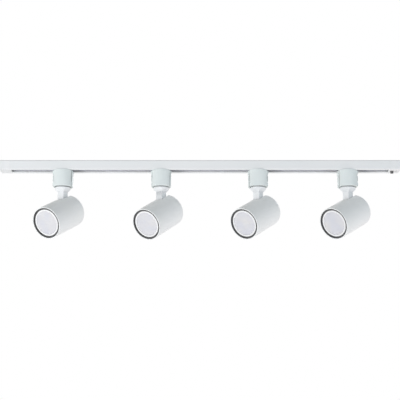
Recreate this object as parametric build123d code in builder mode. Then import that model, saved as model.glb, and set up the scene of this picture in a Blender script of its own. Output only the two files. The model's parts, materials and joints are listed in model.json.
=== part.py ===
from build123d import *
import os
from math import cos, radians, sin, sqrt

# A straight ceiling track with four spotlights. Millimetres. The origin is the middle of the
# face that lies against the ceiling, X runs along the track, -Y faces the room, +Z is up.

os.makedirs("parts", exist_ok=True)

# ---------------------------------------------------------------- track dimensions
TRACK_LENGTH = 764.0  # over both end pieces
TRACK_WIDTH = 35.0
TRACK_HEIGHT = 18.0
END_LENGTH = 21.0  # each end piece, outside the rail
WEB = 1.8  # the rail's top wall
WALL = 2.2  # the rail's side walls
LIP = 1.6  # the lips beside the slot
SLOT_WIDTH = 19.0
EDGE = 0.5  # bevels along the bottom edges
TOP_BEVEL = 1.6  # bevels along the top edges
FIXING_SPACING = 330.0
FIXING_HOLE_R = 2.25

STRIP_INNER_Y = 11.3  # inner face of the plastic strips
STRIP_BOTTOM = -13.4
BAR_TOP = -5.9  # the copper bars
BAR_BOTTOM = -9.9
BAR_INNER_Y = 12.6
BAR_OUTER_Y = 14.1

END_WALL = 2.0
TONGUE_LENGTH = 20.0  # the hollow tongue of each end, inside the rail
TONGUE_FIT = 0.2
CABLE_HOLE_R = 4.5
CABLE_HOLE_Z = -9.0
PILLAR_SIDE = 7.0  # square pillar that takes the lock screw
TERMINAL_X = 369.5
TERMINAL_LENGTH = 11.0
TERMINAL_WIDTH = 8.0
TERMINAL_HEIGHT = 9.0
TERMINAL_Y = 8.5
TERMINAL_WIRE_R = 1.8
TERMINAL_WIRE_Z = -6.5
TERMINAL_SCREW_R = 1.5
TERMINAL_SCREW_DEPTH = 3.0
PLATE_THICKNESS = 1.4
PLATE_Z = -17.8  # underside of the plates, just inside the lips
LIFT_SLOT_X = 8.5  # the slot that a screwdriver lifts the live end's plate by, from its screw
LIFT_SLOT_Y = 1.5
LIFT_SLOT_LENGTH = 5.0
LIFT_SLOT_WIDTH = 2.4
SCREW_X = 367.5
SCREW_R = 1.5
SCREW_DEPTH = 8.0
SCREW_HEAD_R = 3.0
SCREW_HEAD_HEIGHT = 4.4
KNURLS = 14
KNURL_R = 0.35
DRIVER_SLOT_LENGTH = 4.4
DRIVER_SLOT_WIDTH = 0.9
DRIVER_SLOT_DEPTH = 1.2

# ---------------------------------------------------------------- spotlight dimensions
ADAPTER_X = (-261.8, -74.1, 110.8, 281.9)
HEAD_YAW = (30.8, 36.0, 40.0, 46.0)  # degrees that each head is turned from -Y towards -X
HEAD_TILT = (26.0, 28.5, 27.0, 26.0)  # degrees that each head points below the horizon

ADAPTER_TOP = -18.3
ADAPTER_BOTTOM = -49.3
ADAPTER_R = 21.0  # the round front and back
ADAPTER_FLAT = 16.5  # from the middle to the flat sides
ADAPTER_WALL = 1.8
ADAPTER_CORNER = 0.8  # rounding of the upright edges
ADAPTER_EDGE = 0.6  # rounding of the bottom edge
RECESS_R = 15.6  # the round recess in the adapter's underside
RECESS_DEPTH = 1.5
FLOOR = 2.5
STOP_R = 12.5  # where the turning stop stands
STOP_POST_R = 1.2
STOP_HEIGHT = 4.0

BOSS_R = 8.8
BOSS_TOP = -5.0
BOSS_BOTTOM = -26.0
BOSS_FLANGE = 2.2
BOSS_BEVEL = 0.8
LUG_REACH = 14.5
LUG_WIDTH = 10.0
LUG_TOP = -14.0
LUG_BOTTOM = -16.1
BLADE_WIDTH = 5.0
BLADE_Y = 5.0  # inner face of each upright blade
BLADE_THICKNESS = 1.0
BLADE_BOTTOM = -28.0
BLADE_ARM_TOP = -7.3  # the arm that reaches out to the copper bar
BLADE_ARM_BOTTOM = -8.5
BLADE_FIT = 0.1

TAB_INNER_X = 16.8
TAB_OUTER_X = 19.0
TAB_TAPER = 0.6
TAB_EDGE = 0.4  # bevels along the tabs' bottom edges
TAB_HALF_Y = 9.0
TAB_TOP = -19.0
TAB_BOTTOM = -48.6
TAB_ARM = 4.0  # height of the arm that joins tab and nose
TAB_TRAVEL = 3.5
GRIP_GROOVES = (-28.0, -41.0)
GRIP_GROOVE_R = 1.8
GRIP_GROOVE_OUT = 0.3  # how far outside the tab the grooves' round is centred
NOSE_TOP = -15.5
NOSE_HALF_Y = 8.0
NOSE_INNER_X = 12.0
NOSE_OUTER_X = 16.0
WINDOW_FIT = 0.5

ARM_TOP = -50.8  # the arm's round top, a narrow gap below the adapter
ARM_R = 15.1
ARM_EDGE = 1.0
ARM_STEP = 2.4  # how far the bearing step is set in from the round top
STEP_FIT = 0.3
NECK_TOP = -59.0
NECK_WIDTH = 14.2
NECK_DEPTH = 13.8
NECK_ROUND = 0.8
PIVOT_Z = -80.2
SPIGOT_R = 6.0
SPIGOT_TOP = -37.5
RUNNING_FIT = 0.06
WIRE_HOLE_R = 2.6
WIRE_EXIT_R = 2.2
WIRE_EXIT_HEIGHT = 5.6  # above the pivot
NUT_FLATS = 17.0
NUT_HEIGHT = 3.5
WASHER_R = 10.5
WASHER_THICKNESS = 1.2
WASHER_TAB = 2.0  # width of the tab that meets the stop post

PIVOT_OFFSET = 21.0  # from the housing's axis up to the pivot
HOUSING_R = 30.6
HOUSING_WALL = 1.5
HOUSING_REAR = -20.6  # along the beam, from the pivot
HOUSING_FRONT = 62.0
HOUSING_ROUND = 2.0
RIM_BEVEL = 0.4
REAR_WALL = 1.6
SLOT_FIT = 0.6  # room beside the neck in the housing's slot
CUT_MARGIN = 1.0  # how far the slot's cut runs on outside the housing

HINGE_R = 2.0  # the screw's shoulder
HINGE_HEAD_R = 3.5
HINGE_HEAD = 2.2
HINGE_NUT = 2.6
HINGE_KEY_R = 1.5  # the key socket in the screw's head
STEEL = 1.5  # the bracket's sheet
EAR_GAP = 0.35  # between an ear and the knuckle
EAR_R = 4.8
WEB_TOP = -11.5  # the bracket's web, below the pivot
BRACKET_FRONT = 5.0
PLATE_DROP = 18.0  # the plate behind the lampholder
FLANGE_REACH = 8.0

HOLDER_R = 13.5
HOLDER_BEVEL = 0.6
LAMP_FRONT = 60.2
LAMP_R = 25.6
LAMP_RIM = 5.0
LAMP_BEVEL = 0.6
LENS_R = 22.4
LENS_THICKNESS = 2.0
LENS_DOME = 0.7
LENS_GROOVE = 0.3  # the bevel of the lamp's rim beside the lens
CUP_R = 20.0  # the shallow cup behind the lens
CUP_DEPTH = 7.0
CUP_SLOPE = 2.0
LAMP_LENGTH = 45.5
TAPER_LENGTH = 33.0
TAPER_BULGE = 1.5  # how far the middle of the lamp's taper stands out
TAPER_SAG = 2.0  # and how far back it sits
BASE_SHOULDER_R = 13.5
BASE_R = 10.5
BASE_LENGTH = 11.0
PIN_SPACING = 10.0
PIN_R = 1.5
PIN_LENGTH = 8.0
PIN_HEAD_R = 2.5
PIN_HEAD = 2.0
PIN_FIT = 0.2
RETAINER_FRONT = 61.4
RETAINER_DEPTH = 5.4
RETAINER_SLEEVE = 0.8  # the thin sleeve that lines the housing's mouth
RETAINER_RECESS = 3.0  # from the sleeve's front down to the ring's face
RETAINER_FIT = 0.15

# ---------------------------------------------------------------- worked-out places
TRACK_END = TRACK_LENGTH / 2
RAIL_END = TRACK_END - END_LENGTH
HALF_WIDTH = TRACK_WIDTH / 2
CHANNEL_Y = HALF_WIDTH - WALL
LIP_TOP = -TRACK_HEIGHT + LIP
ADAPTER_INSIDE_TOP = ADAPTER_TOP - ADAPTER_WALL
RECESS_TOP = ADAPTER_BOTTOM + RECESS_DEPTH
FLOOR_TOP = RECESS_TOP + FLOOR
BLADE_TIP_Y = BAR_INNER_Y - BLADE_FIT
KNUCKLE_R = NECK_DEPTH / 2
EAR_INNER = NECK_WIDTH / 2 + EAR_GAP
EAR_OUTER = EAR_INNER + STEEL
HOUSING_INNER_R = HOUSING_R - HOUSING_WALL
BRACKET_REAR = HOUSING_REAR + REAR_WALL
WEB_BOTTOM = WEB_TOP - STEEL
LAMP_REAR = LAMP_FRONT - LAMP_LENGTH

# The half outline that the rail and its end pieces share, down one side: along, height.
SIDE_OUTLINE = [
    (0, 0),
    (HALF_WIDTH - TOP_BEVEL, 0),
    (HALF_WIDTH, -TOP_BEVEL),
    (HALF_WIDTH, -TRACK_HEIGHT + EDGE),
    (HALF_WIDTH - EDGE, -TRACK_HEIGHT),
]


def save(piece, node):
    """Labels a finished piece and writes its STEP file."""
    piece.part.label = node
    export_step(piece.part, f"parts/{node}.step")


# ================================================================ track
with BuildPart() as track_rail:
    with BuildSketch(Plane.YZ):
        with BuildLine():
            Polyline(
                *SIDE_OUTLINE,
                (SLOT_WIDTH / 2, -TRACK_HEIGHT),
                (SLOT_WIDTH / 2, LIP_TOP),
                (CHANNEL_Y, LIP_TOP),
                (CHANNEL_Y, -WEB),
                (0, -WEB),
                close=True,
            )
        make_face()
        mirror(about=Plane.YZ)
    extrude(amount=RAIL_END, both=True)
    with GridLocations(FIXING_SPACING, 0, 2, 1):
        Hole(FIXING_HOLE_R, depth=2 * WEB)
save(track_rail, "track_rail")

with BuildPart() as insulator_strips:
    with BuildSketch(Plane.YZ):
        with BuildLine():
            Polyline(
                (CHANNEL_Y, -WEB),
                (CHANNEL_Y, STRIP_BOTTOM),
                (STRIP_INNER_Y, STRIP_BOTTOM),
                (STRIP_INNER_Y, BAR_BOTTOM),
                (BAR_OUTER_Y, BAR_BOTTOM),
                (BAR_OUTER_Y, BAR_TOP),
                (STRIP_INNER_Y, BAR_TOP),
                (STRIP_INNER_Y, -WEB),
                close=True,
            )
        make_face()
        mirror(about=Plane.YZ)
    extrude(amount=RAIL_END, both=True)
save(insulator_strips, "insulator_strips")

with BuildPart() as copper_conductors:
    with BuildSketch(Plane.YZ):
        with Locations(((BAR_INNER_Y + BAR_OUTER_Y) / 2, (BAR_TOP + BAR_BOTTOM) / 2)):
            Rectangle(BAR_OUTER_Y - BAR_INNER_Y, BAR_TOP - BAR_BOTTOM)
        mirror(about=Plane.YZ)
    extrude(amount=RAIL_END, both=True)
save(copper_conductors, "copper_conductors")

TONGUE_TOP = -WEB - TONGUE_FIT
TONGUE_WIDTH = 2 * (STRIP_INNER_Y - TONGUE_FIT)
TONGUE_HEIGHT = TONGUE_TOP - STRIP_BOTTOM

for node, side in (("live_end_feed", 1), ("dead_end_cap", -1)):
    with BuildPart() as end_piece:
        with BuildSketch(Plane.YZ.offset(side * RAIL_END)):
            with BuildLine():
                Polyline(*SIDE_OUTLINE, (0, -TRACK_HEIGHT), close=True)
            make_face()
            mirror(about=Plane.YZ)
        extrude(amount=side * END_LENGTH)
        # the chamber, open towards the rail and below, along the line of the slot
        with BuildSketch(Plane.YZ.offset(side * RAIL_END)):
            with Locations((0, (LIP_TOP - END_WALL) / 2)):
                Rectangle(TRACK_WIDTH - 2 * END_WALL, -LIP_TOP - END_WALL)
            with Locations((0, -TRACK_HEIGHT)):
                Rectangle(SLOT_WIDTH, 2 * LIP)
        extrude(amount=side * (END_LENGTH - END_WALL), mode=Mode.SUBTRACT)
        # the tongue that slides into the rail, joined to the end's top wall
        with BuildSketch(Plane.YZ.offset(side * (RAIL_END - TONGUE_LENGTH))):
            with Locations((0, TONGUE_TOP - TONGUE_HEIGHT / 2)):
                Rectangle(TONGUE_WIDTH, TONGUE_HEIGHT)
                inside = (TONGUE_WIDTH - 2 * END_WALL, TONGUE_HEIGHT - 2 * END_WALL)
                Rectangle(*inside, mode=Mode.SUBTRACT)
        extrude(amount=side * (TONGUE_LENGTH + END_WALL))
        if side > 0:
            with BuildSketch(Plane.YZ.offset(TRACK_END)):
                with Locations((0, CABLE_HOLE_Z)):
                    Circle(CABLE_HOLE_R)
            extrude(amount=-END_WALL, mode=Mode.SUBTRACT)
            with BuildSketch(Plane.XY.offset(-END_WALL)):
                with Locations((SCREW_X, 0)):
                    Rectangle(PILLAR_SIDE, PILLAR_SIDE)
            extrude(amount=LIP_TOP + END_WALL)
            with BuildSketch(Plane.XY.offset(LIP_TOP)):
                with Locations((SCREW_X, 0)):
                    Circle(SCREW_R)
            extrude(amount=SCREW_DEPTH, mode=Mode.SUBTRACT)
    save(end_piece, node)

with BuildPart() as terminal_block:
    # one clamp on each side of the pillar, with a wire hole along it and a screw hole up into it
    with BuildSketch(Plane.XY.offset(-END_WALL)):
        with Locations((TERMINAL_X, -TERMINAL_Y), (TERMINAL_X, TERMINAL_Y)):
            Rectangle(TERMINAL_LENGTH, TERMINAL_WIDTH)
    extrude(amount=-TERMINAL_HEIGHT)
    with BuildSketch(Plane.YZ.offset(TERMINAL_X)):
        with Locations((-TERMINAL_Y, TERMINAL_WIRE_Z), (TERMINAL_Y, TERMINAL_WIRE_Z)):
            Circle(TERMINAL_WIRE_R)
    extrude(amount=TERMINAL_LENGTH, both=True, mode=Mode.SUBTRACT)
    with BuildSketch(Plane.XY.offset(-END_WALL - TERMINAL_HEIGHT)):
        with Locations((TERMINAL_X, -TERMINAL_Y), (TERMINAL_X, TERMINAL_Y)):
            Circle(TERMINAL_SCREW_R)
    extrude(amount=TERMINAL_SCREW_DEPTH, mode=Mode.SUBTRACT)
save(terminal_block, "terminal_block")

PLATE_LENGTH = END_LENGTH - END_WALL
PLATE_X = RAIL_END + PLATE_LENGTH / 2

with BuildPart() as end_cover_plates:
    with BuildSketch(Plane.XY.offset(PLATE_Z)):
        with Locations((-PLATE_X, 0), (PLATE_X, 0)):
            Rectangle(PLATE_LENGTH, SLOT_WIDTH)
        with Locations((SCREW_X, 0)):
            Circle(SCREW_R, mode=Mode.SUBTRACT)
        # the small slot that a screwdriver lifts the live end's plate by
        with Locations((SCREW_X + LIFT_SLOT_X, LIFT_SLOT_Y)):
            SlotOverall(LIFT_SLOT_LENGTH, LIFT_SLOT_WIDTH, rotation=90, mode=Mode.SUBTRACT)
    extrude(amount=PLATE_THICKNESS)
save(end_cover_plates, "end_cover_plates")

with BuildPart() as lock_screw:
    with BuildSketch(Plane.XY.offset(PLATE_Z)):
        with Locations((SCREW_X, 0)):
            Circle(SCREW_HEAD_R)
            with PolarLocations(SCREW_HEAD_R, KNURLS):
                Circle(KNURL_R, mode=Mode.SUBTRACT)
    extrude(amount=-SCREW_HEAD_HEIGHT)
    with BuildSketch(Plane.XY.offset(PLATE_Z - SCREW_HEAD_HEIGHT)):
        with Locations((SCREW_X, 0)):
            Rectangle(DRIVER_SLOT_LENGTH, DRIVER_SLOT_WIDTH)
    extrude(amount=DRIVER_SLOT_DEPTH, mode=Mode.SUBTRACT)
    with BuildSketch(Plane.XY.offset(PLATE_Z)):
        with Locations((SCREW_X, 0)):
            Circle(SCREW_R)
    extrude(amount=SCREW_DEPTH)
save(lock_screw, "lock_screw")


# ================================================================ adapters
def adapter_plane(n, z):
    """Level plane on spotlight n's turning axis, square to the track."""
    return Plane(origin=(ADAPTER_X[n], 0, z), x_dir=(1, 0, 0), z_dir=(0, 0, 1))


def make_adapter_casing(n):
    with BuildPart() as casing:
        with BuildSketch(adapter_plane(n, ADAPTER_BOTTOM)):
            Circle(ADAPTER_R)
            Rectangle(2 * ADAPTER_FLAT, 2 * ADAPTER_R, mode=Mode.INTERSECT)
        extrude(amount=ADAPTER_TOP - ADAPTER_BOTTOM)
        fillet(casing.edges().filter_by(Axis.Z), ADAPTER_CORNER)
        fillet(casing.faces().sort_by(Axis.Z)[0].edges(), ADAPTER_EDGE)
        with BuildSketch(adapter_plane(n, ADAPTER_BOTTOM)):
            Circle(RECESS_R)
        extrude(amount=RECESS_DEPTH, mode=Mode.SUBTRACT)
        with BuildSketch(adapter_plane(n, FLOOR_TOP)):
            inner_flat = 2 * (ADAPTER_FLAT - ADAPTER_WALL)
            Circle(ADAPTER_R - ADAPTER_WALL)
            Rectangle(inner_flat, 2 * ADAPTER_R, mode=Mode.INTERSECT)
        extrude(amount=ADAPTER_INSIDE_TOP - FLOOR_TOP, mode=Mode.SUBTRACT)
        # the boss's hole in the top and the spigot's hole in the floor
        with BuildSketch(adapter_plane(n, ADAPTER_INSIDE_TOP)):
            Circle(BOSS_R)
        extrude(amount=ADAPTER_WALL, mode=Mode.SUBTRACT)
        with BuildSketch(adapter_plane(n, RECESS_TOP)):
            Circle(SPIGOT_R + RUNNING_FIT)
        extrude(amount=FLOOR, mode=Mode.SUBTRACT)
        # windows for the arms and noses of the two tabs, open at the top
        window_bottom = TAB_TOP - TAB_ARM - TAB_TRAVEL - WINDOW_FIT
        window_inner = NOSE_INNER_X - WINDOW_FIT
        window_depth = ADAPTER_FLAT - window_inner
        window_x = window_inner + window_depth / 2
        with BuildSketch(adapter_plane(n, window_bottom)):
            with Locations((-window_x, 0), (window_x, 0)):
                Rectangle(window_depth, 2 * (NOSE_HALF_Y + WINDOW_FIT))
        extrude(amount=ADAPTER_TOP - window_bottom, mode=Mode.SUBTRACT)
        # the post that stops the head's turn, at the back
        with BuildSketch(adapter_plane(n, FLOOR_TOP)):
            with Locations((0, STOP_R)):
                Circle(STOP_POST_R)
        extrude(amount=STOP_HEIGHT)
    save(casing, f"adapter_casing_{n + 1}")


def make_contact_carrier(n):
    with BuildPart() as carrier:
        with BuildSketch(adapter_plane(n, BOSS_BOTTOM)):
            Circle(BOSS_R)
        extrude(amount=BOSS_TOP - BOSS_BOTTOM)
        chamfer(carrier.edges().group_by(Axis.Z)[-1], BOSS_BEVEL)
        with BuildSketch(adapter_plane(n, ADAPTER_INSIDE_TOP)):
            Circle(BOSS_R + BOSS_FLANGE)
        extrude(amount=-BOSS_FLANGE)
        # the lock lugs, which rest on the rail's lips
        with BuildSketch(adapter_plane(n, LUG_BOTTOM)):
            Circle(LUG_REACH)
            Rectangle(LUG_WIDTH, 2 * LUG_REACH, mode=Mode.INTERSECT)
        extrude(amount=LUG_TOP - LUG_BOTTOM)
        # slots for the upright blades, from below, and for their arms
        for side in (-1, 1):
            with BuildSketch(adapter_plane(n, BOSS_BOTTOM)):
                with Locations((0, side * (BLADE_Y + BLADE_THICKNESS / 2))):
                    Rectangle(BLADE_WIDTH + BLADE_FIT, BLADE_THICKNESS + BLADE_FIT)
            extrude(amount=BLADE_ARM_TOP - BOSS_BOTTOM + BLADE_FIT, mode=Mode.SUBTRACT)
            with BuildSketch(adapter_plane(n, BLADE_ARM_BOTTOM - BLADE_FIT)):
                with Locations((0, side * (BLADE_Y + BOSS_R) / 2)):
                    Rectangle(BLADE_WIDTH + BLADE_FIT, BOSS_R - BLADE_Y)
            extrude(
                amount=BLADE_ARM_TOP - BLADE_ARM_BOTTOM + 2 * BLADE_FIT,
                mode=Mode.SUBTRACT,
            )
    save(carrier, f"contact_carrier_{n + 1}")


def make_contact_blades(n):
    with BuildPart() as blades:
        for side in (-1, 1):
            with BuildSketch(adapter_plane(n, BLADE_BOTTOM)):
                with Locations((0, side * (BLADE_Y + BLADE_THICKNESS / 2))):
                    Rectangle(BLADE_WIDTH, BLADE_THICKNESS)
            extrude(amount=BLADE_ARM_TOP - BLADE_BOTTOM)
            with BuildSketch(adapter_plane(n, BLADE_ARM_BOTTOM)):
                with Locations((0, side * (BLADE_Y + BLADE_TIP_Y) / 2)):
                    Rectangle(BLADE_WIDTH, BLADE_TIP_Y - BLADE_Y)
            extrude(amount=BLADE_ARM_TOP - BLADE_ARM_BOTTOM)
    save(blades, f"contact_blades_{n + 1}")


def make_latch_tabs(n):
    arm_bottom = TAB_TOP - TAB_ARM
    with BuildPart() as tabs:
        for side in (-1, 1):
            # upright plane along the track: local X outwards from the adapter, local Y up
            upright = Plane(
                origin=(ADAPTER_X[n], 0, 0), x_dir=(side, 0, 0), z_dir=(0, -side, 0)
            )
            with BuildSketch(upright):
                with BuildLine():
                    Polyline(
                        (TAB_INNER_X, TAB_TOP),
                        (TAB_OUTER_X, TAB_TOP),
                        (TAB_OUTER_X - TAB_TAPER, TAB_BOTTOM),
                        (TAB_INNER_X, TAB_BOTTOM),
                        close=True,
                    )
                make_face()
                with Locations(*[(TAB_OUTER_X + GRIP_GROOVE_OUT, z) for z in GRIP_GROOVES]):
                    Circle(GRIP_GROOVE_R, mode=Mode.SUBTRACT)
            extrude(amount=TAB_HALF_Y, both=True)
            with BuildSketch(upright):
                with Locations(((NOSE_INNER_X + TAB_INNER_X) / 2, (TAB_TOP + arm_bottom) / 2)):
                    Rectangle(TAB_INNER_X - NOSE_INNER_X, TAB_ARM)
                with Locations(((NOSE_INNER_X + NOSE_OUTER_X) / 2, (TAB_TOP + NOSE_TOP) / 2)):
                    Rectangle(NOSE_OUTER_X - NOSE_INNER_X, NOSE_TOP - TAB_TOP)
            extrude(amount=NOSE_HALF_Y, both=True)
        chamfer(tabs.edges().filter_by(Axis.Y).group_by(Axis.Z)[0], TAB_EDGE)
    save(tabs, f"latch_tabs_{n + 1}")


# ================================================================ swivels
def side_direction(n):
    """The hinge axis of spotlight n's head, level and square to its beam."""
    yaw = radians(HEAD_YAW[n])
    return Vector(cos(yaw), -sin(yaw), 0)


def swivel_plane(n, z):
    """Level plane on the turning axis: local X along the hinge, local Y backwards."""
    return Plane(origin=(ADAPTER_X[n], 0, z), x_dir=side_direction(n), z_dir=(0, 0, 1))


def hinge_plane(n, height=0):
    """Upright plane across the hinge axis: local X backwards, local Y up from the pivot."""
    across = side_direction(n)
    start = Vector(ADAPTER_X[n], 0, PIVOT_Z + height)
    return Plane(origin=start, x_dir=Vector(0, 0, 1).cross(across), z_dir=across)


def make_swivel_arm(n):
    with BuildPart() as arm:
        with BuildSketch(swivel_plane(n, ARM_TOP)):
            Circle(ARM_R)
        extrude(amount=-ARM_EDGE)
        with BuildSketch(swivel_plane(n, ARM_TOP - ARM_EDGE)):
            Circle(ARM_R)
        with BuildSketch(swivel_plane(n, NECK_TOP)):
            RectangleRounded(NECK_WIDTH, NECK_DEPTH, NECK_ROUND)
        loft()
        with BuildSketch(swivel_plane(n, PIVOT_Z)):
            RectangleRounded(NECK_WIDTH, NECK_DEPTH, NECK_ROUND)
        extrude(amount=NECK_TOP - PIVOT_Z)
        with BuildSketch(hinge_plane(n)):
            Circle(KNUCKLE_R)
        extrude(amount=NECK_WIDTH / 2, both=True)
        # the bearing step in the adapter's recess, and the spigot through its floor
        with BuildSketch(swivel_plane(n, ARM_TOP)):
            Circle(ARM_R - ARM_STEP)
        extrude(amount=RECESS_TOP - STEP_FIT - ARM_TOP)
        with BuildSketch(swivel_plane(n, ARM_TOP)):
            Circle(SPIGOT_R)
        extrude(amount=SPIGOT_TOP - ARM_TOP)
        # the wires' way, down the middle and out at the back of the neck
        with BuildSketch(swivel_plane(n, SPIGOT_TOP)):
            Circle(WIRE_HOLE_R)
        extrude(amount=PIVOT_Z + WIRE_EXIT_HEIGHT - SPIGOT_TOP, mode=Mode.SUBTRACT)
        wire_start = hinge_plane(n, WIRE_EXIT_HEIGHT)
        with BuildSketch(Plane(wire_start.origin, side_direction(n), wire_start.x_dir)):
            Circle(WIRE_EXIT_R)
        extrude(amount=NECK_DEPTH, mode=Mode.SUBTRACT)
        with BuildSketch(hinge_plane(n)):
            Circle(HINGE_R + RUNNING_FIT)
        extrude(amount=NECK_WIDTH, both=True, mode=Mode.SUBTRACT)
    save(arm, f"swivel_arm_{n + 1}")


def make_swivel_nut(n):
    seat = FLOOR_TOP + BLADE_FIT
    tab_reach = STOP_R + STOP_POST_R
    with BuildPart() as nut:
        with BuildSketch(swivel_plane(n, seat)):
            Circle(WASHER_R)
            with Locations((0, -tab_reach / 2)):
                Rectangle(WASHER_TAB, tab_reach)
            Circle(SPIGOT_R, mode=Mode.SUBTRACT)
        extrude(amount=WASHER_THICKNESS)
        with BuildSketch(swivel_plane(n, seat + WASHER_THICKNESS)):
            RegularPolygon(NUT_FLATS / 2, 6, major_radius=False)
            Circle(SPIGOT_R, mode=Mode.SUBTRACT)
        extrude(amount=NUT_HEIGHT)
    save(nut, f"swivel_nut_{n + 1}")


# ================================================================ heads
def beam_direction(n):
    """The way that spotlight n shines."""
    yaw = radians(HEAD_YAW[n])
    tilt = radians(HEAD_TILT[n])
    return Vector(-sin(yaw) * cos(tilt), -cos(yaw) * cos(tilt), -sin(tilt))


def head_up(n):
    """Square to the beam and the hinge, from the housing's axis towards the pivot."""
    return beam_direction(n).cross(side_direction(n))


def across_beam(n, along):
    """Plane across the beam on the housing's axis: local X along the hinge, local Y up."""
    pivot = Vector(ADAPTER_X[n], 0, PIVOT_Z)
    start = pivot - head_up(n) * PIVOT_OFFSET + beam_direction(n) * along
    return Plane(origin=start, x_dir=side_direction(n), z_dir=beam_direction(n))


def along_beam(n):
    """Plane that holds the housing's axis: local X outwards, local Y along the beam."""
    return Plane(
        origin=across_beam(n, 0).origin, x_dir=side_direction(n), z_dir=head_up(n) * -1
    )


def cheek_plane(n, offset):
    """Plane beside the knuckle: local X up from the pivot, local Y along the beam."""
    start = Vector(ADAPTER_X[n], 0, PIVOT_Z) + side_direction(n) * offset
    return Plane(origin=start, x_dir=head_up(n), z_dir=side_direction(n))


def housing_axis(n):
    return Axis(across_beam(n, 0).origin, beam_direction(n))


def make_housing(n):
    slot_bottom = PIVOT_OFFSET - NECK_DEPTH / 2 - SLOT_FIT
    slot_height = HOUSING_R + CUT_MARGIN - slot_bottom
    slot_front = NECK_DEPTH / 2 + SLOT_FIT
    arc_middle = HOUSING_ROUND * (1 - 1 / sqrt(2))
    with BuildPart() as housing:
        with BuildSketch(along_beam(n)):
            with BuildLine():
                Line((0, HOUSING_REAR), (HOUSING_R - HOUSING_ROUND, HOUSING_REAR))
                ThreePointArc(
                    (HOUSING_R - HOUSING_ROUND, HOUSING_REAR),
                    (HOUSING_R - arc_middle, HOUSING_REAR + arc_middle),
                    (HOUSING_R, HOUSING_REAR + HOUSING_ROUND),
                )
                Polyline(
                    (HOUSING_R, HOUSING_REAR + HOUSING_ROUND),
                    (HOUSING_R, HOUSING_FRONT - RIM_BEVEL),
                    (HOUSING_R - RIM_BEVEL, HOUSING_FRONT),
                    (HOUSING_INNER_R + RIM_BEVEL, HOUSING_FRONT),
                    (HOUSING_INNER_R, HOUSING_FRONT - RIM_BEVEL),
                    (HOUSING_INNER_R, BRACKET_REAR),
                    (0, BRACKET_REAR),
                    (0, HOUSING_REAR),
                )
            make_face()
        revolve(axis=housing_axis(n))
        # the slot that the neck swings in, through the rear wall and the top
        with BuildSketch(across_beam(n, HOUSING_REAR)):
            with Locations((0, slot_bottom + slot_height / 2)):
                Rectangle(NECK_WIDTH + 2 * SLOT_FIT, slot_height)
        extrude(amount=slot_front - HOUSING_REAR, mode=Mode.SUBTRACT)
    save(housing, f"housing_{n + 1}")


def make_hinge_bracket(n):
    length = BRACKET_FRONT - BRACKET_REAR
    with BuildPart() as bracket:
        for side in (-1, 1):
            with BuildSketch(cheek_plane(n, side * EAR_INNER)):
                with Locations((WEB_BOTTOM / 2, (BRACKET_REAR + EAR_R) / 2)):
                    Rectangle(-WEB_BOTTOM, EAR_R - BRACKET_REAR)
                Circle(EAR_R)
                Circle(HINGE_R, mode=Mode.SUBTRACT)
            extrude(amount=side * STEEL)
        # the flanges that are spot-welded to the rear wall
        with BuildSketch(across_beam(n, BRACKET_REAR)):
            for side in (-1, 1):
                with Locations(
                    (side * (EAR_OUTER + FLANGE_REACH / 2), PIVOT_OFFSET + WEB_BOTTOM / 2)
                ):
                    Rectangle(FLANGE_REACH, -WEB_BOTTOM)
        extrude(amount=STEEL)
        # the web below the knuckle, turned down at its front to carry the lampholder
        with BuildSketch(across_beam(n, BRACKET_REAR)):
            with Locations((0, PIVOT_OFFSET + WEB_BOTTOM + STEEL / 2)):
                Rectangle(2 * EAR_OUTER, STEEL)
        extrude(amount=length)
        with BuildSketch(across_beam(n, BRACKET_FRONT - STEEL)):
            with Locations((0, PIVOT_OFFSET + WEB_BOTTOM - PLATE_DROP / 2)):
                Rectangle(2 * EAR_OUTER, PLATE_DROP)
        extrude(amount=STEEL)
    save(bracket, f"hinge_bracket_{n + 1}")


def make_hinge_screw(n):
    with BuildPart() as screw:
        with BuildSketch(cheek_plane(n, -EAR_OUTER - HINGE_NUT)):
            Circle(HINGE_R)
        extrude(amount=2 * EAR_OUTER + HINGE_NUT)
        with BuildSketch(cheek_plane(n, EAR_OUTER)):
            Circle(HINGE_HEAD_R)
            RegularPolygon(HINGE_KEY_R, 6, mode=Mode.SUBTRACT)
        extrude(amount=HINGE_HEAD)
        with BuildSketch(cheek_plane(n, -EAR_OUTER)):
            RegularPolygon(HINGE_HEAD_R, 6, major_radius=False)
        extrude(amount=-HINGE_NUT)
    save(screw, f"hinge_screw_{n + 1}")


def make_lampholder(n):
    half = PIN_SPACING / 2
    with BuildPart() as holder:
        with BuildSketch(across_beam(n, BRACKET_FRONT)):
            Circle(HOLDER_R)
        extrude(amount=LAMP_REAR - BRACKET_FRONT)
        chamfer(holder.edges().filter_by(GeomType.CIRCLE), HOLDER_BEVEL)
        with BuildSketch(across_beam(n, LAMP_REAR)):
            with Locations((-half, 0), (half, 0)):
                Circle(PIN_HEAD_R + PIN_FIT)
        extrude(amount=-PIN_LENGTH - PIN_FIT, mode=Mode.SUBTRACT)
    save(holder, f"lampholder_{n + 1}")


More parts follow.
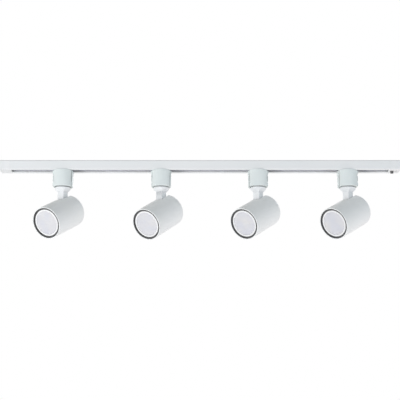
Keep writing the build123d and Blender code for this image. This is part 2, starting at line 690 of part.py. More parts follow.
def make_lamp_body(n):
    half = PIN_SPACING / 2
    taper_middle = (
        (BASE_SHOULDER_R + LAMP_R) / 2 + TAPER_BULGE,
        LAMP_FRONT - TAPER_LENGTH / 2 - TAPER_SAG,
    )
    lens_seat = LAMP_FRONT - LENS_DOME - LENS_THICKNESS
    with BuildPart() as body:
        with BuildSketch(along_beam(n)):
            with BuildLine():
                Polyline(
                    (0, LAMP_REAR),
                    (BASE_R, LAMP_REAR),
                    (BASE_R, LAMP_REAR + BASE_LENGTH),
                    (BASE_SHOULDER_R, LAMP_FRONT - TAPER_LENGTH),
                )
                ThreePointArc(
                    (BASE_SHOULDER_R, LAMP_FRONT - TAPER_LENGTH),
                    taper_middle,
                    (LAMP_R, LAMP_FRONT - LAMP_RIM),
                )
                Polyline(
                    (LAMP_R, LAMP_FRONT - LAMP_RIM),
                    (LAMP_R, LAMP_FRONT - LAMP_BEVEL),
                    (LAMP_R - LAMP_BEVEL, LAMP_FRONT),
                    (LENS_R + LENS_GROOVE, LAMP_FRONT),
                    (LENS_R, LAMP_FRONT - LENS_GROOVE),
                    (LENS_R, lens_seat),
                    (CUP_R, lens_seat),
                    (CUP_R - CUP_SLOPE, LAMP_FRONT - CUP_DEPTH),
                    (0, LAMP_FRONT - CUP_DEPTH),
                    (0, LAMP_REAR),
                )
            make_face()
        revolve(axis=housing_axis(n))
        with BuildSketch(across_beam(n, LAMP_REAR)):
            with Locations((-half, 0), (half, 0)):
                Circle(PIN_R)
        extrude(amount=-PIN_LENGTH)
        with BuildSketch(across_beam(n, LAMP_REAR - PIN_LENGTH)):
            with Locations((-half, 0), (half, 0)):
                Circle(PIN_HEAD_R)
        extrude(amount=PIN_HEAD)
    save(body, f"lamp_body_{n + 1}")


def make_lamp_lens(n):
    lens_rear = LAMP_FRONT - LENS_DOME - LENS_THICKNESS
    lens_edge = LAMP_FRONT - LENS_DOME
    dome_r = (LENS_R**2 + LENS_DOME**2) / (2 * LENS_DOME)
    middle_drop = dome_r - sqrt(dome_r**2 - LENS_R**2 / 4)
    with BuildPart() as lens:
        with BuildSketch(along_beam(n)):
            with BuildLine():
                Polyline(
                    (0, LAMP_FRONT),
                    (0, lens_rear),
                    (LENS_R, lens_rear),
                    (LENS_R, lens_edge),
                )
                ThreePointArc(
                    (LENS_R, lens_edge),
                    (LENS_R / 2, LAMP_FRONT - middle_drop),
                    (0, LAMP_FRONT),
                )
            make_face()
        revolve(axis=housing_axis(n))
    save(lens, f"lamp_lens_{n + 1}")


def make_lamp_retainer(n):
    inner_r = LAMP_R + RETAINER_FIT
    rear = RETAINER_FRONT - RETAINER_DEPTH
    face = RETAINER_FRONT - RETAINER_RECESS
    with BuildPart() as retainer:
        with BuildSketch(along_beam(n)):
            with BuildLine():
                Polyline(
                    (inner_r, rear),
                    (HOUSING_INNER_R, rear),
                    (HOUSING_INNER_R, RETAINER_FRONT),
                    (HOUSING_INNER_R - RETAINER_SLEEVE, RETAINER_FRONT),
                    (HOUSING_INNER_R - RETAINER_SLEEVE, face),
                    (inner_r, face),
                    close=True,
                )
            make_face()
        revolve(axis=housing_axis(n))
    save(retainer, f"lamp_retainer_{n + 1}")


for n in range(len(ADAPTER_X)):
    make_adapter_casing(n)
    make_contact_carrier(n)
    make_contact_blades(n)
    make_latch_tabs(n)
    make_swivel_arm(n)
    make_swivel_nut(n)
    make_housing(n)
    make_hinge_bracket(n)
    make_hinge_screw(n)
    make_lampholder(n)
    make_lamp_body(n)
    make_lamp_lens(n)
    make_lamp_retainer(n)
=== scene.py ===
"""The looks of a ceiling track with four spotlights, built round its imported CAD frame.

Blender works in metres in the row frame. The pieces are drawn in millimetres in a local frame
and placed by a matrix that also scales them.
"""
import json
from math import atan2, cos, pi, radians, sin, sqrt, tan

import bmesh
import bpy
from mathutils import Matrix, Vector

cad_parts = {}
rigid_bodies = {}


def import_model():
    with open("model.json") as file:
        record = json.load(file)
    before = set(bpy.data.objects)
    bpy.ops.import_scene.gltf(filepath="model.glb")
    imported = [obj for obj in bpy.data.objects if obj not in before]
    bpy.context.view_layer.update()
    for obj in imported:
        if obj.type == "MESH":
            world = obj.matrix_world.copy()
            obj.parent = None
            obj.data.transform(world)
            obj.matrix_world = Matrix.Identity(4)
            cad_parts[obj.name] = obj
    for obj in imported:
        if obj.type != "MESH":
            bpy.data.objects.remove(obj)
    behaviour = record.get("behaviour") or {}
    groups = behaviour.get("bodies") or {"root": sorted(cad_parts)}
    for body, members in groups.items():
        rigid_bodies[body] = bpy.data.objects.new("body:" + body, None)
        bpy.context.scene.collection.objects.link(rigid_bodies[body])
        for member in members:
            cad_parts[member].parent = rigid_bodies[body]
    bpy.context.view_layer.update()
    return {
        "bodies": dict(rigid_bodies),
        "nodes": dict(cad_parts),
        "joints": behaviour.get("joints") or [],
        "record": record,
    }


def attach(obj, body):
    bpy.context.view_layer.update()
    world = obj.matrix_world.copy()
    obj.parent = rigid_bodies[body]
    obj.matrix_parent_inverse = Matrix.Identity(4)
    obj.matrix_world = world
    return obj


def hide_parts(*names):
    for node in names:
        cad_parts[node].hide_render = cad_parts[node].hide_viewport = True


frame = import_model()

MM = 0.001
HEADS = sum(name.startswith("head_") for name in frame["bodies"])
UP = Vector((0, 0, 1))

# ---------------------------------------------------------------- driving dimensions, mm
SEGMENTS = 144  # round a turned piece
BORE_SEGMENTS = 64
PIN_SEGMENTS = 40
SOFT_ANGLE = radians(38)  # edges sharper than this are rounded over
FLAT_ANGLE = radians(0.5)  # faces closer to one plane than this are joined
WELD = 0.001  # points closer than this are one
TINY = 1e-6  # a radius below this is a point on the axis

HOUSING_WALL = 1.5
HOUSING_ROUND = 2.0  # the rear edge
HOUSING_EDGE = 0.3  # the slot's edges
RIM_ROUND = 0.55
SLOT_ROUND = 1.0
SLOT_FIT = 0.6
CUT_MARGIN = 3.0  # how far a cut runs on outside the piece

ARM_EDGE = 1.0
ARM_ROUND = 0.5
ARM_SOFT = 0.15  # rounding of the casting's other edges
ARM_STEP_IN = 2.4
NECK_TOP = -59.0
NECK_HALF_WIDTH = 7.1
NECK_HALF_DEPTH = 6.9
NECK_ROUND = 0.8
SHOULDER_CRISP = 1.8  # how much sooner than the sides the shoulder's corners close in
SHOULDER_LEVELS = 14
KNUCKLE_LEVELS = 16
KNUCKLE_END = radians(86)  # where the knuckle's round is cut off flat
SPIGOT_R = 6.0
SPIGOT_TOP = -37.5
SPIGOT_ROUND = 0.4
STEP_TOP = -48.1
STEP_ROUND = 0.3
STEP_TOP_ROUND = 0.2
WIRE_HOLE_R = 2.6
WIRE_EXIT_R = 2.2
WIRE_EXIT_HEIGHT = 5.6  # above the pivot
HINGE_HOLE_R = 2.06
BORE_MARGIN = 1.0  # how far the wire's hole is cut past the spigot's top
KNUCKLE_CORNER = 0.9  # the part of the knuckle's depth that its rounded corners may take

LAMP_RIM = 5.0
LAMP_ROUND = 0.7
RIM_FOOT_ROUND = 1.5  # where the rim meets the taper
LENS_GROOVE = 0.35
LENS_GROOVE_DEPTH = 0.6
LENS_GROOVE_ROUND = 0.1
BASE_R = 10.5
BASE_LENGTH = 11.0
BASE_SHOULDER_R = 13.5
BASE_ROUND = 0.6
BASE_FOOT_ROUND = 0.5
BASE_SHOULDER_ROUND = 2.0
TAPER_LENGTH = 33.0
TAPER_BULGE = 1.5  # how far the taper's middle stands out from a straight cone
TAPER_SAG = 2.0  # how far behind halfway that middle lies
TAPER_BOW = 14.0  # radius of the taper's curve
CUP_R = 20.0  # the hollow behind the lens
CUP_DEPTH = 7.0
CUP_SLOPE = 2.0
CUP_ROUND = 1.0
CUP_EDGE_ROUND = 0.3
LENS_SEAT = 2.7
LENS_DOME = 0.7
LENS_ROUND = 0.25
LENS_RINGS = 18
PIN_SPACING = 10.0
PIN_R = 1.5
PIN_HEAD_R = 2.5
PIN_HEAD = 2.0
PIN_LENGTH = 8.0
PIN_HEAD_ROUND = 0.4
PIN_NECK_ROUND = 0.3
PIN_FOOT_ROUND = 0.2
RETAINER_SLEEVE = 0.8
RETAINER_RECESS = 3.0
RETAINER_FIT = 0.15  # between the ring and the lamp
RETAINER_ROUND = 0.3
RETAINER_LIP_ROUND = 0.2
RETAINER_INNER_ROUND = 0.5


# ================================================================ places, read from the frame
def joint(name):
    return next(j for j in frame["joints"] if j["name"] == name)


def axes(origin, x, y, z):
    """Matrix from millimetres along x, y and z to metres in the row frame."""
    turn = Matrix((x, y, z)).transposed().to_4x4()
    return Matrix.Translation(origin) @ turn @ Matrix.Scale(MM, 4)


def swivel_place(n):
    """Spotlight n's turning axis: X along its hinge, Y backwards, Z up, from the row's z = 0."""
    tilt = joint(f"head_tilt_{n}")
    side = Vector(tilt["axis"]).normalized()
    pivot = Vector(tilt["pos_m"])
    return axes(Vector((pivot.x, pivot.y, 0)), side, UP.cross(side), UP)


def pivot_place(n):
    """Spotlight n's head: X along its hinge, Y square to the beam, Z along the beam."""
    tilt = joint(f"head_tilt_{n}")
    side = Vector(tilt["axis"]).normalized()
    below = radians(-tilt["range_deg"][0])
    beam = side.cross(UP) * cos(below) - UP * sin(below)
    return axes(Vector(tilt["pos_m"]), side, beam.cross(side), beam)


def span(node, place):
    """Lowest and highest local coordinates of a CAD node, in millimetres."""
    back = place.inverted()
    points = [back @ v.co for v in frame["nodes"][node].data.vertices]
    low = Vector([min(p[i] for p in points) for i in range(3)])
    high = Vector([max(p[i] for p in points) for i in range(3)])
    return low, high


def beam_place(n):
    """As pivot_place, but on the housing's axis."""
    low, high = span(f"housing_{n}", pivot_place(n))
    return pivot_place(n) @ Matrix.Translation((0, low.y + high.x, 0))


# ================================================================ mesh tools
def rounded(corners, steps=6, closed=True):
    """The 2-D outline through corners (x, y, radius), each turned into an arc of that radius."""
    outline = []
    count = len(corners)
    for i, (x, y, radius) in enumerate(corners):
        corner = Vector((x, y))
        is_end = not closed and i in (0, count - 1)
        if radius == 0 or is_end:
            outline.append(corner)
            continue
        before = (Vector(corners[i - 1][:2]) - corner).normalized()
        after = (Vector(corners[(i + 1) % count][:2]) - corner).normalized()
        half = before.angle(after) / 2
        centre = corner + (before + after).normalized() * radius / sin(half)
        start = corner + before * radius / tan(half) - centre
        end = corner + after * radius / tan(half) - centre
        turn = atan2(start.cross(end), start.dot(end))
        for k in range(steps + 1):
            outline.append(centre + Matrix.Rotation(turn * k / steps, 2) @ start)
    return outline


def skin(bm, rings, wrap):
    """Faces between neighbouring rings of points; a ring of one point is a tip."""
    pairs = list(zip(rings, rings[1:]))
    if wrap:
        pairs.append((rings[-1], rings[0]))
    for low, high in pairs:
        count = max(len(low), len(high))
        for k in range(count):
            after = (k + 1) % count
            corners = [low[k % len(low)], low[after % len(low)]]
            corners += [high[after % len(high)], high[k % len(high)]]
            bm.faces.new(list(dict.fromkeys(corners)))


def turned(bm, outline, place, wrap=False, centre=(0, 0), segments=SEGMENTS):
    """Adds the outline (radius, along), turned round the local Z axis through centre."""
    rings = []
    for radius, along in outline:
        count = segments if radius > TINY else 1
        ring = []
        for k in range(count):
            angle = 2 * pi * k / count
            point = (centre[0] + radius * cos(angle), centre[1] + radius * sin(angle), along)
            ring.append(bm.verts.new(place @ Vector(point)))
        rings.append(ring)
    skin(bm, rings, wrap)


def make_object(name, bm):
    bmesh.ops.recalc_face_normals(bm, faces=bm.faces)
    mesh = bpy.data.meshes.new(name)
    bm.to_mesh(mesh)
    bm.free()
    mesh.shade_smooth()
    piece = bpy.data.objects.new(name, mesh)
    bpy.context.scene.collection.objects.link(piece)
    return piece


def carve(piece, cutter):
    """Cuts the cutter's shape out of the piece, and removes the cutter."""
    cut = piece.modifiers.new("cut", "BOOLEAN")
    cut.object = cutter
    cut.solver = "EXACT"
    graph = bpy.context.evaluated_depsgraph_get()
    mesh = bpy.data.meshes.new_from_object(piece.evaluated_get(graph))
    piece.modifiers.clear()
    piece.data = mesh
    mesh.shade_smooth()
    bpy.data.objects.remove(cutter)


def join_flats(piece):
    """Joins neighbouring faces that lie in one plane, so that the edges round them stay clean."""
    bm = bmesh.new()
    bm.from_mesh(piece.data)
    bmesh.ops.dissolve_limit(bm, angle_limit=FLAT_ANGLE, verts=bm.verts, edges=bm.edges)
    bm.to_mesh(piece.data)
    bm.free()


def rod(place, radius, start, end, direction=UP):
    """A cutter: a round bar along a local direction, from start to end."""
    aim = direction.to_track_quat("Z", "Y").to_matrix().to_4x4()
    bm = bmesh.new()
    outline = [(0, start), (radius, start), (radius, end), (0, end)]
    turned(bm, outline, place @ aim, segments=BORE_SEGMENTS)
    return make_object("cutter", bm)


def soften(piece, width, segments=3):
    """Rounds the piece's sharp edges and evens out its shading."""
    weld = piece.modifiers.new("weld", "WELD")
    weld.merge_threshold = WELD * MM
    bevel = piece.modifiers.new("bevel", "BEVEL")
    bevel.width = width * MM
    bevel.segments = segments
    bevel.limit_method = "ANGLE"
    bevel.angle_limit = SOFT_ANGLE
    bevel.use_clamp_overlap = True
    shade = piece.modifiers.new("shade", "WEIGHTED_NORMAL")
    shade.keep_sharp = True


def finish_piece(piece, body, node, slot):
    """Puts a new piece on its body, in place of its CAD node, in the slot's material."""
    piece.data.materials.clear()
    piece.data.materials.append(MATERIALS[slot])
    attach(piece, body)
    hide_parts(node)


# ================================================================ materials
CREVICE_SHADE_SAMPLES = 6  # rays that look for neighbours at each point, for the painted shade in corners
BASE_COLOUR = {m["slot"]: m["base_color"] for m in frame["record"]["materials"]}


class Finish:
    """One procedural material. Its patterns lie in object space, so they ride with each piece."""

    def __init__(self, slot, metallic=0.0):
        self.material = bpy.data.materials.new(slot + "_finish")
        self.material.use_nodes = True
        self.tree = self.material.node_tree
        self.shader = self.tree.nodes["Principled BSDF"]
        self.shader.inputs["Metallic"].default_value = metallic
        self.colour = BASE_COLOUR[slot][:3]
        self.place = self.tree.nodes.new("ShaderNodeTexCoord").outputs["Object"]
        self.relief = None

    def link(self, output, node, socket):
        self.tree.links.new(output, node.inputs[socket])

    def noise(self, size, stretch=(1, 1, 1), detail=3.0, rough=0.55):
        """Noise whose marks are about size millimetres, drawn out by the stretch along X, Y, Z."""
        squeeze = self.tree.nodes.new("ShaderNodeMapping")
        squeeze.inputs["Scale"].default_value = [1 / s for s in stretch]
        self.link(self.place, squeeze, "Vector")
        noise = self.tree.nodes.new("ShaderNodeTexNoise")
        noise.inputs["Scale"].default_value = 1 / (size * MM)
        noise.inputs["Detail"].default_value = detail
        noise.inputs["Roughness"].default_value = rough
        self.link(squeeze.outputs["Vector"], noise, "Vector")
        return noise.outputs["Fac"]

    def spread(self, value, low, high, start=0.3, end=0.7):
        """The value from start to end, mapped onto low to high."""
        span_node = self.tree.nodes.new("ShaderNodeMapRange")
        for name, number in zip(
            ("From Min", "From Max", "To Min", "To Max"), (start, end, low, high)
        ):
            span_node.inputs[name].default_value = number
        self.link(value, span_node, "Value")
        return span_node.outputs["Result"]

    def tint(self, value, low, high):
        """The base colour, times low where the value is 0 and high where it is 1."""
        blend = self.tree.nodes.new("ShaderNodeMix")
        blend.data_type = "RGBA"
        blend.inputs["A"].default_value = [c * k for c, k in zip(self.colour, low)] + [1]
        blend.inputs["B"].default_value = [c * k for c, k in zip(self.colour, high)] + [1]
        self.link(value, blend, "Factor")
        return blend.outputs["Result"]

    def paint_crevice_shade(self, colour, reach, shade_dark):
        """Paints shade into the colour: darkens it in corners and gaps narrower than reach, in
        millimetres, where shade falls.
        """
        shade_probe = self.tree.nodes.new("ShaderNodeAmbientOcclusion")
        shade_probe.samples = CREVICE_SHADE_SAMPLES
        shade_probe.inputs["Distance"].default_value = reach * MM
        # mask of the painted shade: 0 deep in a corner, 1 in the open
        depth = self.spread(shade_probe.outputs["AO"], 0.0, 1.0, start=0.25, end=0.95)
        blend = self.tree.nodes.new("ShaderNodeMix")
        blend.data_type = "RGBA"
        blend.inputs["A"].default_value = [c * shade_dark for c in self.colour] + [1]
        self.link(colour, blend, "B")
        self.link(depth, blend, "Factor")
        return blend.outputs["Result"]

    def raise_by(self, value, depth, strength=1.0):
        """Adds relief whose height is about depth millimetres."""
        bump = self.tree.nodes.new("ShaderNodeBump")
        bump.inputs["Strength"].default_value = strength
        bump.inputs["Distance"].default_value = depth * MM
        self.link(value, bump, "Height")
        if self.relief is not None:
            self.link(self.relief, bump, "Normal")
        self.relief = bump.outputs["Normal"]

    def done(self, colour, roughness):
        self.link(colour, self.shader, "Base Color")
        self.link(roughness, self.shader, "Roughness")
        if self.relief is not None:
            self.link(self.relief, self.shader, "Normal")
        return self.material


def powder_coat(slot, grain, dull=(0.955, 0.972, 0.975), crevice_shade=(2.5, 0.72)):
    """Fine orange peel with a faint cloudiness, at most as deep as dull, and painted shade in its
    corners.
    """
    finish = Finish(slot)
    finish.raise_by(finish.noise(grain, detail=2.0), depth=0.035, strength=0.45)
    finish.raise_by(finish.noise(6 * grain, detail=1.0), depth=0.05, strength=0.25)
    cloud = finish.spread(finish.noise(size=34, detail=2.0), 0.0, 1.0)
    colour = finish.tint(cloud, dull, (1.0, 1.0, 1.0))
    # painted shade: the colour darkens in corners and gaps
    colour = finish.paint_crevice_shade(colour, *crevice_shade)
    return finish.done(colour, finish.spread(finish.noise(grain * 3), low=0.40, high=0.56))


def extruded_coat(slot):
    """A coated extrusion: faint die lines along its length under a fine powder coat."""
    finish = Finish(slot)
    die_lines = finish.noise(size=0.9, stretch=(220, 1, 1), detail=2.0)
    finish.raise_by(die_lines, depth=0.03, strength=0.4)
    finish.raise_by(finish.noise(size=0.7, detail=2.0), depth=0.03, strength=0.35)
    cloud = finish.spread(finish.noise(size=60, stretch=(3, 1, 1), detail=2.0), 0.0, 1.0)
    colour = finish.tint(cloud, (0.955, 0.970, 0.975), (1.0, 1.0, 1.0))
    return finish.done(colour, finish.spread(finish.noise(size=2.5), low=0.38, high=0.52))


def moulded(slot, grain, roughness, depth=0.02, dull=0.94, crevice_shade=(2.0, 0.70)):
    """Moulded plastic with a spark-eroded grain and faint flow marks, and painted shade in its
    corners.
    """
    finish = Finish(slot)
    finish.raise_by(finish.noise(grain, detail=4.0, rough=0.7), depth, strength=0.5)
    flow = finish.spread(finish.noise(size=18, stretch=(1, 1, 2.5), detail=2.0), 0.0, 1.0)
    colour = finish.tint(flow, (dull, dull + 0.012, dull + 0.015), (1.0, 1.0, 1.0))
    # painted shade: the colour darkens in corners and gaps
    colour = finish.paint_crevice_shade(colour, *crevice_shade)
    low, high = roughness
    return finish.done(colour, finish.spread(finish.noise(grain * 4), low, high))


def drawn_metal(slot, stretch, tarnish, roughness):
    """Bare metal with drawing or brushing lines, darker patches where it has tarnished, and
    painted shade in its corners.
    """
    finish = Finish(slot, metallic=1.0)
    lines = finish.noise(size=0.35, stretch=stretch, detail=4.0, rough=0.7)
    finish.raise_by(lines, depth=0.012, strength=0.5)
    patches = finish.spread(finish.noise(size=7, detail=5.0, rough=0.65), 0.0, 1.0)
    colour = finish.tint(patches, tarnish, (1.0, 1.0, 1.0))
    # painted shade: the colour darkens in corners and gaps
    colour = finish.paint_crevice_shade(colour, reach=1.5, shade_dark=0.5)
    low, high = roughness
    return finish.done(colour, finish.spread(lines, low, high))


def glazed_ceramic(slot):
    """White glaze with pin-prick specks and a slightly uneven surface."""
    finish = Finish(slot)
    finish.raise_by(finish.noise(size=4, detail=2.0), depth=0.05, strength=0.4)
    specks = finish.spread(finish.noise(size=0.5, detail=1.0), 0.0, 1.0, start=0.24, end=0.30)
    finish.shader.inputs["Coat Weight"].default_value = 0.4
    return finish.done(
        finish.tint(specks, (0.7, 0.68, 0.62), (1.0, 1.0, 1.0)),
        finish.spread(finish.noise(size=3), low=0.16, high=0.28),
    )


def frosted_lens(slot):
    """Diffusing polycarbonate: fine etched sparkle, and a little light goes in and scatters."""
    finish = Finish(slot)
    finish.raise_by(finish.noise(size=0.28, rough=0.7), depth=0.02, strength=0.6)
    cloud = finish.spread(finish.noise(size=22, detail=1.5), 0.0, 1.0)
    colour = finish.tint(cloud, (0.875, 0.90, 0.96), (0.945, 0.95, 0.95))
    finish.shader.inputs["Subsurface Weight"].default_value = 0.35
    finish.shader.inputs["Subsurface Radius"].default_value = (1.0, 1.0, 1.0)
    finish.shader.inputs["Subsurface Scale"].default_value = 1.5 * MM
    return finish.done(colour, finish.spread(finish.noise(size=1.2), low=0.34, high=0.46))


# crevice_shade gives each finish the reach in mm and the darkness of its painted corner shade
MATERIALS = {
    "rail_white": extruded_coat("rail_white"),
    "end_plastic": moulded("end_plastic", grain=0.5, roughness=(0.38, 0.52)),
    "strip_plastic": moulded(
        "strip_plastic", grain=0.6, roughness=(0.50, 0.65), dull=0.96, crevice_shade=(0.5, 0.9)
    ),
    "copper": drawn_metal(
        "copper", stretch=(90, 1, 1), tarnish=(0.62, 0.55, 0.50), roughness=(0.22, 0.42)
    ),
    "terminal_plastic": moulded(
        "terminal_plastic", grain=0.6, roughness=(0.22, 0.34), depth=0.01
    ),
    "black_plastic": moulded(
        "black_plastic", grain=0.4, roughness=(0.42, 0.60), depth=0.03, dull=0.75
    ),
    "adapter_plastic": moulded(
        "adapter_plastic", grain=0.45, roughness=(0.40, 0.54), crevice_shade=(3.0, 0.90)
    ),
    "carrier_plastic": moulded("carrier_plastic", grain=0.5, roughness=(0.45, 0.60), dull=0.90),
    "contact_brass": drawn_metal(
        "contact_brass", stretch=(1, 1, 40), tarnish=(0.70, 0.62, 0.50), roughness=(0.20, 0.38)
    ),
    # painted shade reaching 7 mm from neighbouring parts, darkening the shoulder under the adapter
    "arm_white": powder_coat("arm_white", grain=0.8, crevice_shade=(7.0, 0.60)),
    "steel": drawn_metal(
        "steel", stretch=(1, 1, 25), tarnish=(0.80, 0.82, 0.86), roughness=(0.28, 0.46)
    ),
    "housing_white": powder_coat("housing_white", grain=0.9, dull=(1.0, 1.0, 0.99)),
    "ceramic": glazed_ceramic("ceramic"),
    "lamp_white": moulded(
        "lamp_white", grain=0.8, roughness=(0.20, 0.32), depth=0.012, dull=0.97
    ),
    "lens_frost": frosted_lens("lens_frost"),
}


# ================================================================ head pieces
def make_housing(n):
    """The turned shell with its rolled rim, and the slot that the neck swings in."""
    place = beam_place(n)
    low, high = span(f"housing_{n}", place)
    outer, rear, front = high.x, low.z, high.z
    inner = outer - HOUSING_WALL
    floor = span(f"hinge_bracket_{n}", place)[0].z
    bm = bmesh.new()
    outline = rounded(
        [
            (0, rear, 0),
            (outer, rear, HOUSING_ROUND),
            (outer, front, RIM_ROUND),
            (inner, front, RIM_ROUND),
            (inner, floor, HOUSING_WALL),
            (0, floor, 0),
        ],
        steps=8,
        closed=False,
    )
    turned(bm, outline, place)
    shell = make_object(f"housing_shell_{n}", bm)

    pivot_y = (pivot_place(n).inverted() @ place.translation).y
    slot_low = -pivot_y - NECK_HALF_DEPTH - SLOT_FIT
    slot_front = NECK_HALF_DEPTH + SLOT_FIT
    half = NECK_HALF_WIDTH + SLOT_FIT
    footprint = rounded(
        [
            (-half, rear - CUT_MARGIN, 0),
            (half, rear - CUT_MARGIN, 0),
            (half, slot_front, SLOT_ROUND),
            (-half, slot_front, SLOT_ROUND),
        ]
    )
    bm = bmesh.new()
    rings = [
        [bm.verts.new(place @ Vector((x, y, z))) for x, z in footprint]
        for y in (slot_low, outer + CUT_MARGIN)
    ]
    skin(bm, rings, wrap=False)
    bm.faces.new(rings[0])
    bm.faces.new(rings[1])
    carve(shell, make_object("cutter", bm))
    join_flats(shell)
    soften(shell, HOUSING_EDGE)
    finish_piece(shell, f"head_{n}", f"housing_{n}", "housing_white")


def make_lamp_body(n):
    """The lamp: glossy rim, lens seat, tapered body, base and its two pins."""
    place = beam_place(n)
    low, high = span(f"lamp_body_{n}", place)
    outer, front = high.x, high.z
    lens_r = span(f"lamp_lens_{n}", place)[1].x
    rear = low.z + PIN_LENGTH
    seat = front - LENS_SEAT
    taper_middle = (
        (BASE_SHOULDER_R + outer) / 2 + TAPER_BULGE,
        front - TAPER_LENGTH / 2 - TAPER_SAG,
    )
    bm = bmesh.new()
    outline = rounded(
        [
            (0, rear, 0),
            (BASE_R, rear, BASE_ROUND),
            (BASE_R, rear + BASE_LENGTH, BASE_FOOT_ROUND),
            (BASE_SHOULDER_R, front - TAPER_LENGTH, BASE_SHOULDER_ROUND),
            (*taper_middle, TAPER_BOW),
            (outer, front - LAMP_RIM, RIM_FOOT_ROUND),
            (outer, front, LAMP_ROUND),
            (lens_r + LENS_GROOVE, front, LAMP_ROUND / 2),
            (lens_r, front - LENS_GROOVE - LENS_GROOVE_DEPTH, LENS_GROOVE_ROUND),
            (lens_r, seat, 0),
            (CUP_R, seat, CUP_EDGE_ROUND),
            (CUP_R - CUP_SLOPE, front - CUP_DEPTH, CUP_ROUND),
            (0, front - CUP_DEPTH, 0),
        ],
        closed=False,
    )
    turned(bm, outline, place)
    pin = rounded(
        [
            (0, low.z, 0),
            (PIN_HEAD_R, low.z, PIN_HEAD_ROUND),
            (PIN_HEAD_R, low.z + PIN_HEAD, PIN_NECK_ROUND),
            (PIN_R, low.z + PIN_HEAD, PIN_FOOT_ROUND),
            (PIN_R, rear, 0),
            (0, rear, 0),
        ],
        steps=4,
        closed=False,
    )
    for side in (-1, 1):
        centre = (side * PIN_SPACING / 2, 0)
        turned(bm, pin, place, centre=centre, segments=PIN_SEGMENTS)
    body = make_object(f"lamp_{n}", bm)
    finish_piece(body, f"head_{n}", f"lamp_body_{n}", "lamp_white")


def make_lens(n):
    """The frosted disc, faintly domed, with a rounded edge."""
    place = beam_place(n)
    low, high = span(f"lamp_lens_{n}", place)
    outer, rear, front = high.x, low.z, high.z
    dome_r = (outer**2 + LENS_DOME**2) / (2 * LENS_DOME)
    reach = outer - LENS_ROUND
    dome = []
    for k in range(LENS_RINGS + 1):
        radius = reach * (1 - k / LENS_RINGS)
        dome.append((radius, front - dome_r + sqrt(dome_r**2 - radius**2)))
    bm = bmesh.new()
    outline = [(0, rear), (reach, rear), (outer, rear + LENS_ROUND)]
    outline.append((outer, dome[0][1] - LENS_ROUND))
    turned(bm, outline + dome, place)
    lens = make_object(f"lens_{n}", bm)
    finish_piece(lens, f"head_{n}", f"lamp_lens_{n}", "lens_frost")


def make_retainer(n):
    """The black ring set deep round the lamp, with the thin sleeve that lines the mouth."""
    place = beam_place(n)
    low, high = span(f"lamp_retainer_{n}", place)
    outer, rear, front = high.x, low.z, high.z
    inner = span(f"lamp_body_{n}", place)[1].x + RETAINER_FIT
    bm = bmesh.new()
    outline = rounded(
        [
            (inner, rear, RETAINER_ROUND),
            (outer, rear, RETAINER_ROUND),
            (outer, front, RETAINER_LIP_ROUND),
            (outer - RETAINER_SLEEVE, front, RETAINER_ROUND),
            (outer - RETAINER_SLEEVE, front - RETAINER_RECESS, RETAINER_INNER_ROUND),
            (inner, front - RETAINER_RECESS, RETAINER_ROUND),
        ],
        steps=4,
    )
    turned(bm, outline, place, wrap=True)
    ring = make_object(f"retainer_{n}", bm)
    finish_piece(ring, f"head_{n}", f"lamp_retainer_{n}", "black_plastic")


# ================================================================ swivel arm
def section(half_width, half_depth, corner, steps=10):
    """A rectangle with rounded corners, as points round its middle; a circle if all are equal."""
    points = []
    for quarter in range(4):
        x_sign = (1, -1, -1, 1)[quarter]
        y_sign = (1, 1, -1, -1)[quarter]
        middle = Vector((x_sign * (half_width - corner), y_sign * (half_depth - corner)))
        for k in range(steps + 1):
            angle = pi / 2 * (quarter + k / steps)
            points.append(middle + corner * Vector((cos(angle), sin(angle))))
    return points


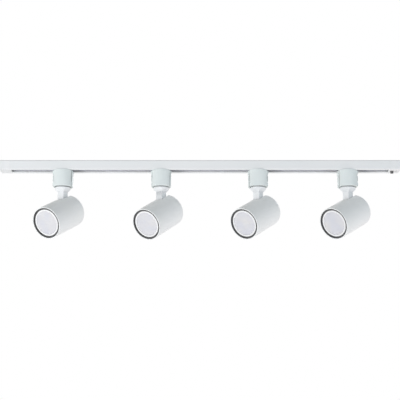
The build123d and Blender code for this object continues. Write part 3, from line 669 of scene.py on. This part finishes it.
def make_arm(n):
    """The cast arm: spigot, bearing step, round top, tapered shoulder, square neck, knuckle."""
    place = swivel_place(n)
    top_r = span(f"swivel_arm_{n}", place)[1].x
    top = joint(f"head_turn_{n}")["pos_m"][2] / MM
    pivot = joint(f"head_tilt_{n}")["pos_m"][2] / MM
    step_r = top_r - ARM_STEP_IN
    top_outline = rounded(
        [
            (0, SPIGOT_TOP, 0),
            (SPIGOT_R, SPIGOT_TOP, SPIGOT_ROUND),
            (SPIGOT_R, STEP_TOP, STEP_ROUND),
            (step_r, STEP_TOP, STEP_ROUND),
            (step_r, top, STEP_TOP_ROUND),
            (top_r, top, ARM_ROUND),
            (top_r, top - ARM_EDGE, 0),
        ],
        steps=5,
        closed=False,
    )
    levels = [(z, r, r, r) for r, z in top_outline[1:]]
    for k in range(1, SHOULDER_LEVELS + 1):
        t = k / SHOULDER_LEVELS
        z = top - ARM_EDGE + (NECK_TOP - top + ARM_EDGE) * t
        corner = NECK_ROUND + (top_r - NECK_ROUND) * (1 - t) ** SHOULDER_CRISP
        width = top_r + (NECK_HALF_WIDTH - top_r) * t
        depth = top_r + (NECK_HALF_DEPTH - top_r) * t
        levels.append((z, width, depth, corner))
    levels.append((pivot, NECK_HALF_WIDTH, NECK_HALF_DEPTH, NECK_ROUND))
    for k in range(1, KNUCKLE_LEVELS + 1):
        angle = KNUCKLE_END * k / KNUCKLE_LEVELS
        depth = NECK_HALF_DEPTH * cos(angle)
        z = pivot - NECK_HALF_DEPTH * sin(angle)
        levels.append((z, NECK_HALF_WIDTH, depth, min(NECK_ROUND, KNUCKLE_CORNER * depth)))

    bm = bmesh.new()
    rings = [
        [bm.verts.new(place @ Vector((p.x, p.y, z))) for p in section(*sizes)]
        for z, *sizes in levels
    ]
    skin(bm, rings, wrap=False)
    bm.faces.new(rings[0])
    bm.faces.new(rings[-1])
    arm = make_object(f"arm_{n}", bm)
    exit_z = pivot + WIRE_EXIT_HEIGHT
    carve(arm, rod(place, WIRE_HOLE_R, exit_z, SPIGOT_TOP + BORE_MARGIN))
    level = place @ Matrix.Translation((0, 0, exit_z))
    carve(arm, rod(level, WIRE_EXIT_R, 0, 2 * NECK_HALF_DEPTH, Vector((0, 1, 0))))
    level = place @ Matrix.Translation((0, 0, pivot))
    reach = 2 * NECK_HALF_WIDTH
    carve(arm, rod(level, HINGE_HOLE_R, -reach, reach, Vector((1, 0, 0))))
    soften(arm, ARM_SOFT, segments=2)
    finish_piece(arm, f"swivel_{n}", f"swivel_arm_{n}", "arm_white")


for number in range(1, HEADS + 1):
    make_housing(number)
    make_lamp_body(number)
    make_lens(number)
    make_retainer(number)
    make_arm(number)


# ================================================================ carried-over CAD nodes
EDGE_ROUND = {
    "track_rail": 0.25, "live_end_feed": 0.3, "dead_end_cap": 0.3, "end_cover_plates": 0.2,
    "lock_screw": 0.12, "terminal_block": 0.3, "adapter_casing": 0.3, "latch_tabs": 0.25,
    "contact_carrier": 0.2, "swivel_nut": 0.15, "hinge_bracket": 0.2, "hinge_screw": 0.15,
    "lampholder": 0.2,
}
slot_of = {row["node"]: row["material_slot"] for row in frame["record"]["subparts"]}

for node, cad_object in frame["nodes"].items():
    cad_object.data.materials.clear()
    cad_object.data.materials.append(MATERIALS[slot_of[node]])
    kind = node.rstrip("0123456789").rstrip("_")
    if kind in EDGE_ROUND and not cad_object.hide_render:
        soften(cad_object, EDGE_ROUND[kind])


# ================================================================ studio
ROOM = 0.43  # strength of the even light all round
BACKDROP = 1.0  # and of the light behind the object
SWEEP_START = 0.45  # the Y part of a direction where the first begins to turn into the second
SWEEP_END = 0.85  # and where it has
FLOOR_HEIGHT = -2.4
FLOOR_HALF = 20.0
FLOOR_COLOUR = (0.82, 0.82, 0.81, 1)
FLOOR_ROUGHNESS = 0.8
FLOOR_GLOW = 0.2
LAMP_SIZE = 1.2
LAMP_TARGET = Vector((0, 0, -0.06))
LAMPS = (  # name, place, watts, colour
    ("key", (-1.6, -1.5, -0.8), 25, (0.96, 0.97, 1.0)),
    ("low_fill", (1.5, -0.3, -1.6), 7.5, (1.0, 0.84, 0.82)),
    ("floor_fill", (0, -0.3, -2.0), 2.0, (0.85, 0.8, 1.0)),
    ("side_fill", (1.8, -1.5, -0.1), 7.0, (0.60, 0.82, 1.0)),
    ("back", (1.0, 2.2, 0.9), 10, (1, 1, 1)),
)
CAMERA_LENS = 90
CAMERA_AT = (0, -1.86498, -0.45864)
CAMERA_PITCH = 11.6466  # degrees above level


def add_lamp(name, at, watts, colour):
    """A soft square lamp at a place, facing the object."""
    data = bpy.data.lights.new(name, "AREA")
    data.shape = "SQUARE"
    data.size = LAMP_SIZE
    data.energy = watts
    data.color = colour
    lamp = bpy.data.objects.new(name, data)
    lamp.location = at
    lamp.rotation_mode = "QUATERNION"
    lamp.rotation_quaternion = (LAMP_TARGET - Vector(at)).to_track_quat("-Z", "Y")
    bpy.context.scene.collection.objects.link(lamp)


def make_world():
    """Even light all round, brighter behind the object, as in front of a white sweep."""
    world = bpy.data.worlds.new("studio")
    bpy.context.scene.world = world
    world.use_nodes = True
    nodes, links = world.node_tree.nodes, world.node_tree.links
    direction = nodes.new("ShaderNodeTexCoord")
    parts = nodes.new("ShaderNodeSeparateXYZ")
    links.new(direction.outputs["Generated"], parts.inputs["Vector"])
    sweep = nodes.new("ShaderNodeMapRange")
    sweep.interpolation_type = "SMOOTHSTEP"
    sweep.inputs["From Min"].default_value = SWEEP_START
    sweep.inputs["From Max"].default_value = SWEEP_END
    sweep.inputs["To Min"].default_value = ROOM
    sweep.inputs["To Max"].default_value = BACKDROP
    links.new(parts.outputs["Y"], sweep.inputs["Value"])
    links.new(sweep.outputs["Result"], nodes["Background"].inputs["Strength"])
    nodes["Background"].inputs["Color"].default_value = (1, 1, 1, 1)


def make_floor():
    """A plain pale floor, far below the object, lit a little from within."""
    bm = bmesh.new()
    corners = [(x * FLOOR_HALF, y * FLOOR_HALF) for x, y in ((-1, -1), (1, -1), (1, 1), (-1, 1))]
    bm.faces.new([bm.verts.new((x, y, FLOOR_HEIGHT)) for x, y in corners])
    floor = make_object("floor", bm)
    material = bpy.data.materials.new("pale_floor")
    material.use_nodes = True
    shader = material.node_tree.nodes["Principled BSDF"]
    shader.inputs["Base Color"].default_value = FLOOR_COLOUR
    shader.inputs["Roughness"].default_value = FLOOR_ROUGHNESS
    shader.inputs["Emission Color"].default_value = (1, 1, 1, 1)
    shader.inputs["Emission Strength"].default_value = FLOOR_GLOW
    floor.data.materials.append(material)


make_world()
make_floor()
for lamp_row in LAMPS:
    add_lamp(*lamp_row)

camera_data = bpy.data.cameras.new("camera")
camera_data.lens = CAMERA_LENS
camera = bpy.data.objects.new("camera", camera_data)
camera.location = CAMERA_AT
camera.rotation_euler = (radians(90 + CAMERA_PITCH), 0, 0)
bpy.context.scene.collection.objects.link(camera)
bpy.context.scene.camera = camera
bpy.context.scene.view_settings.view_transform = "Standard"
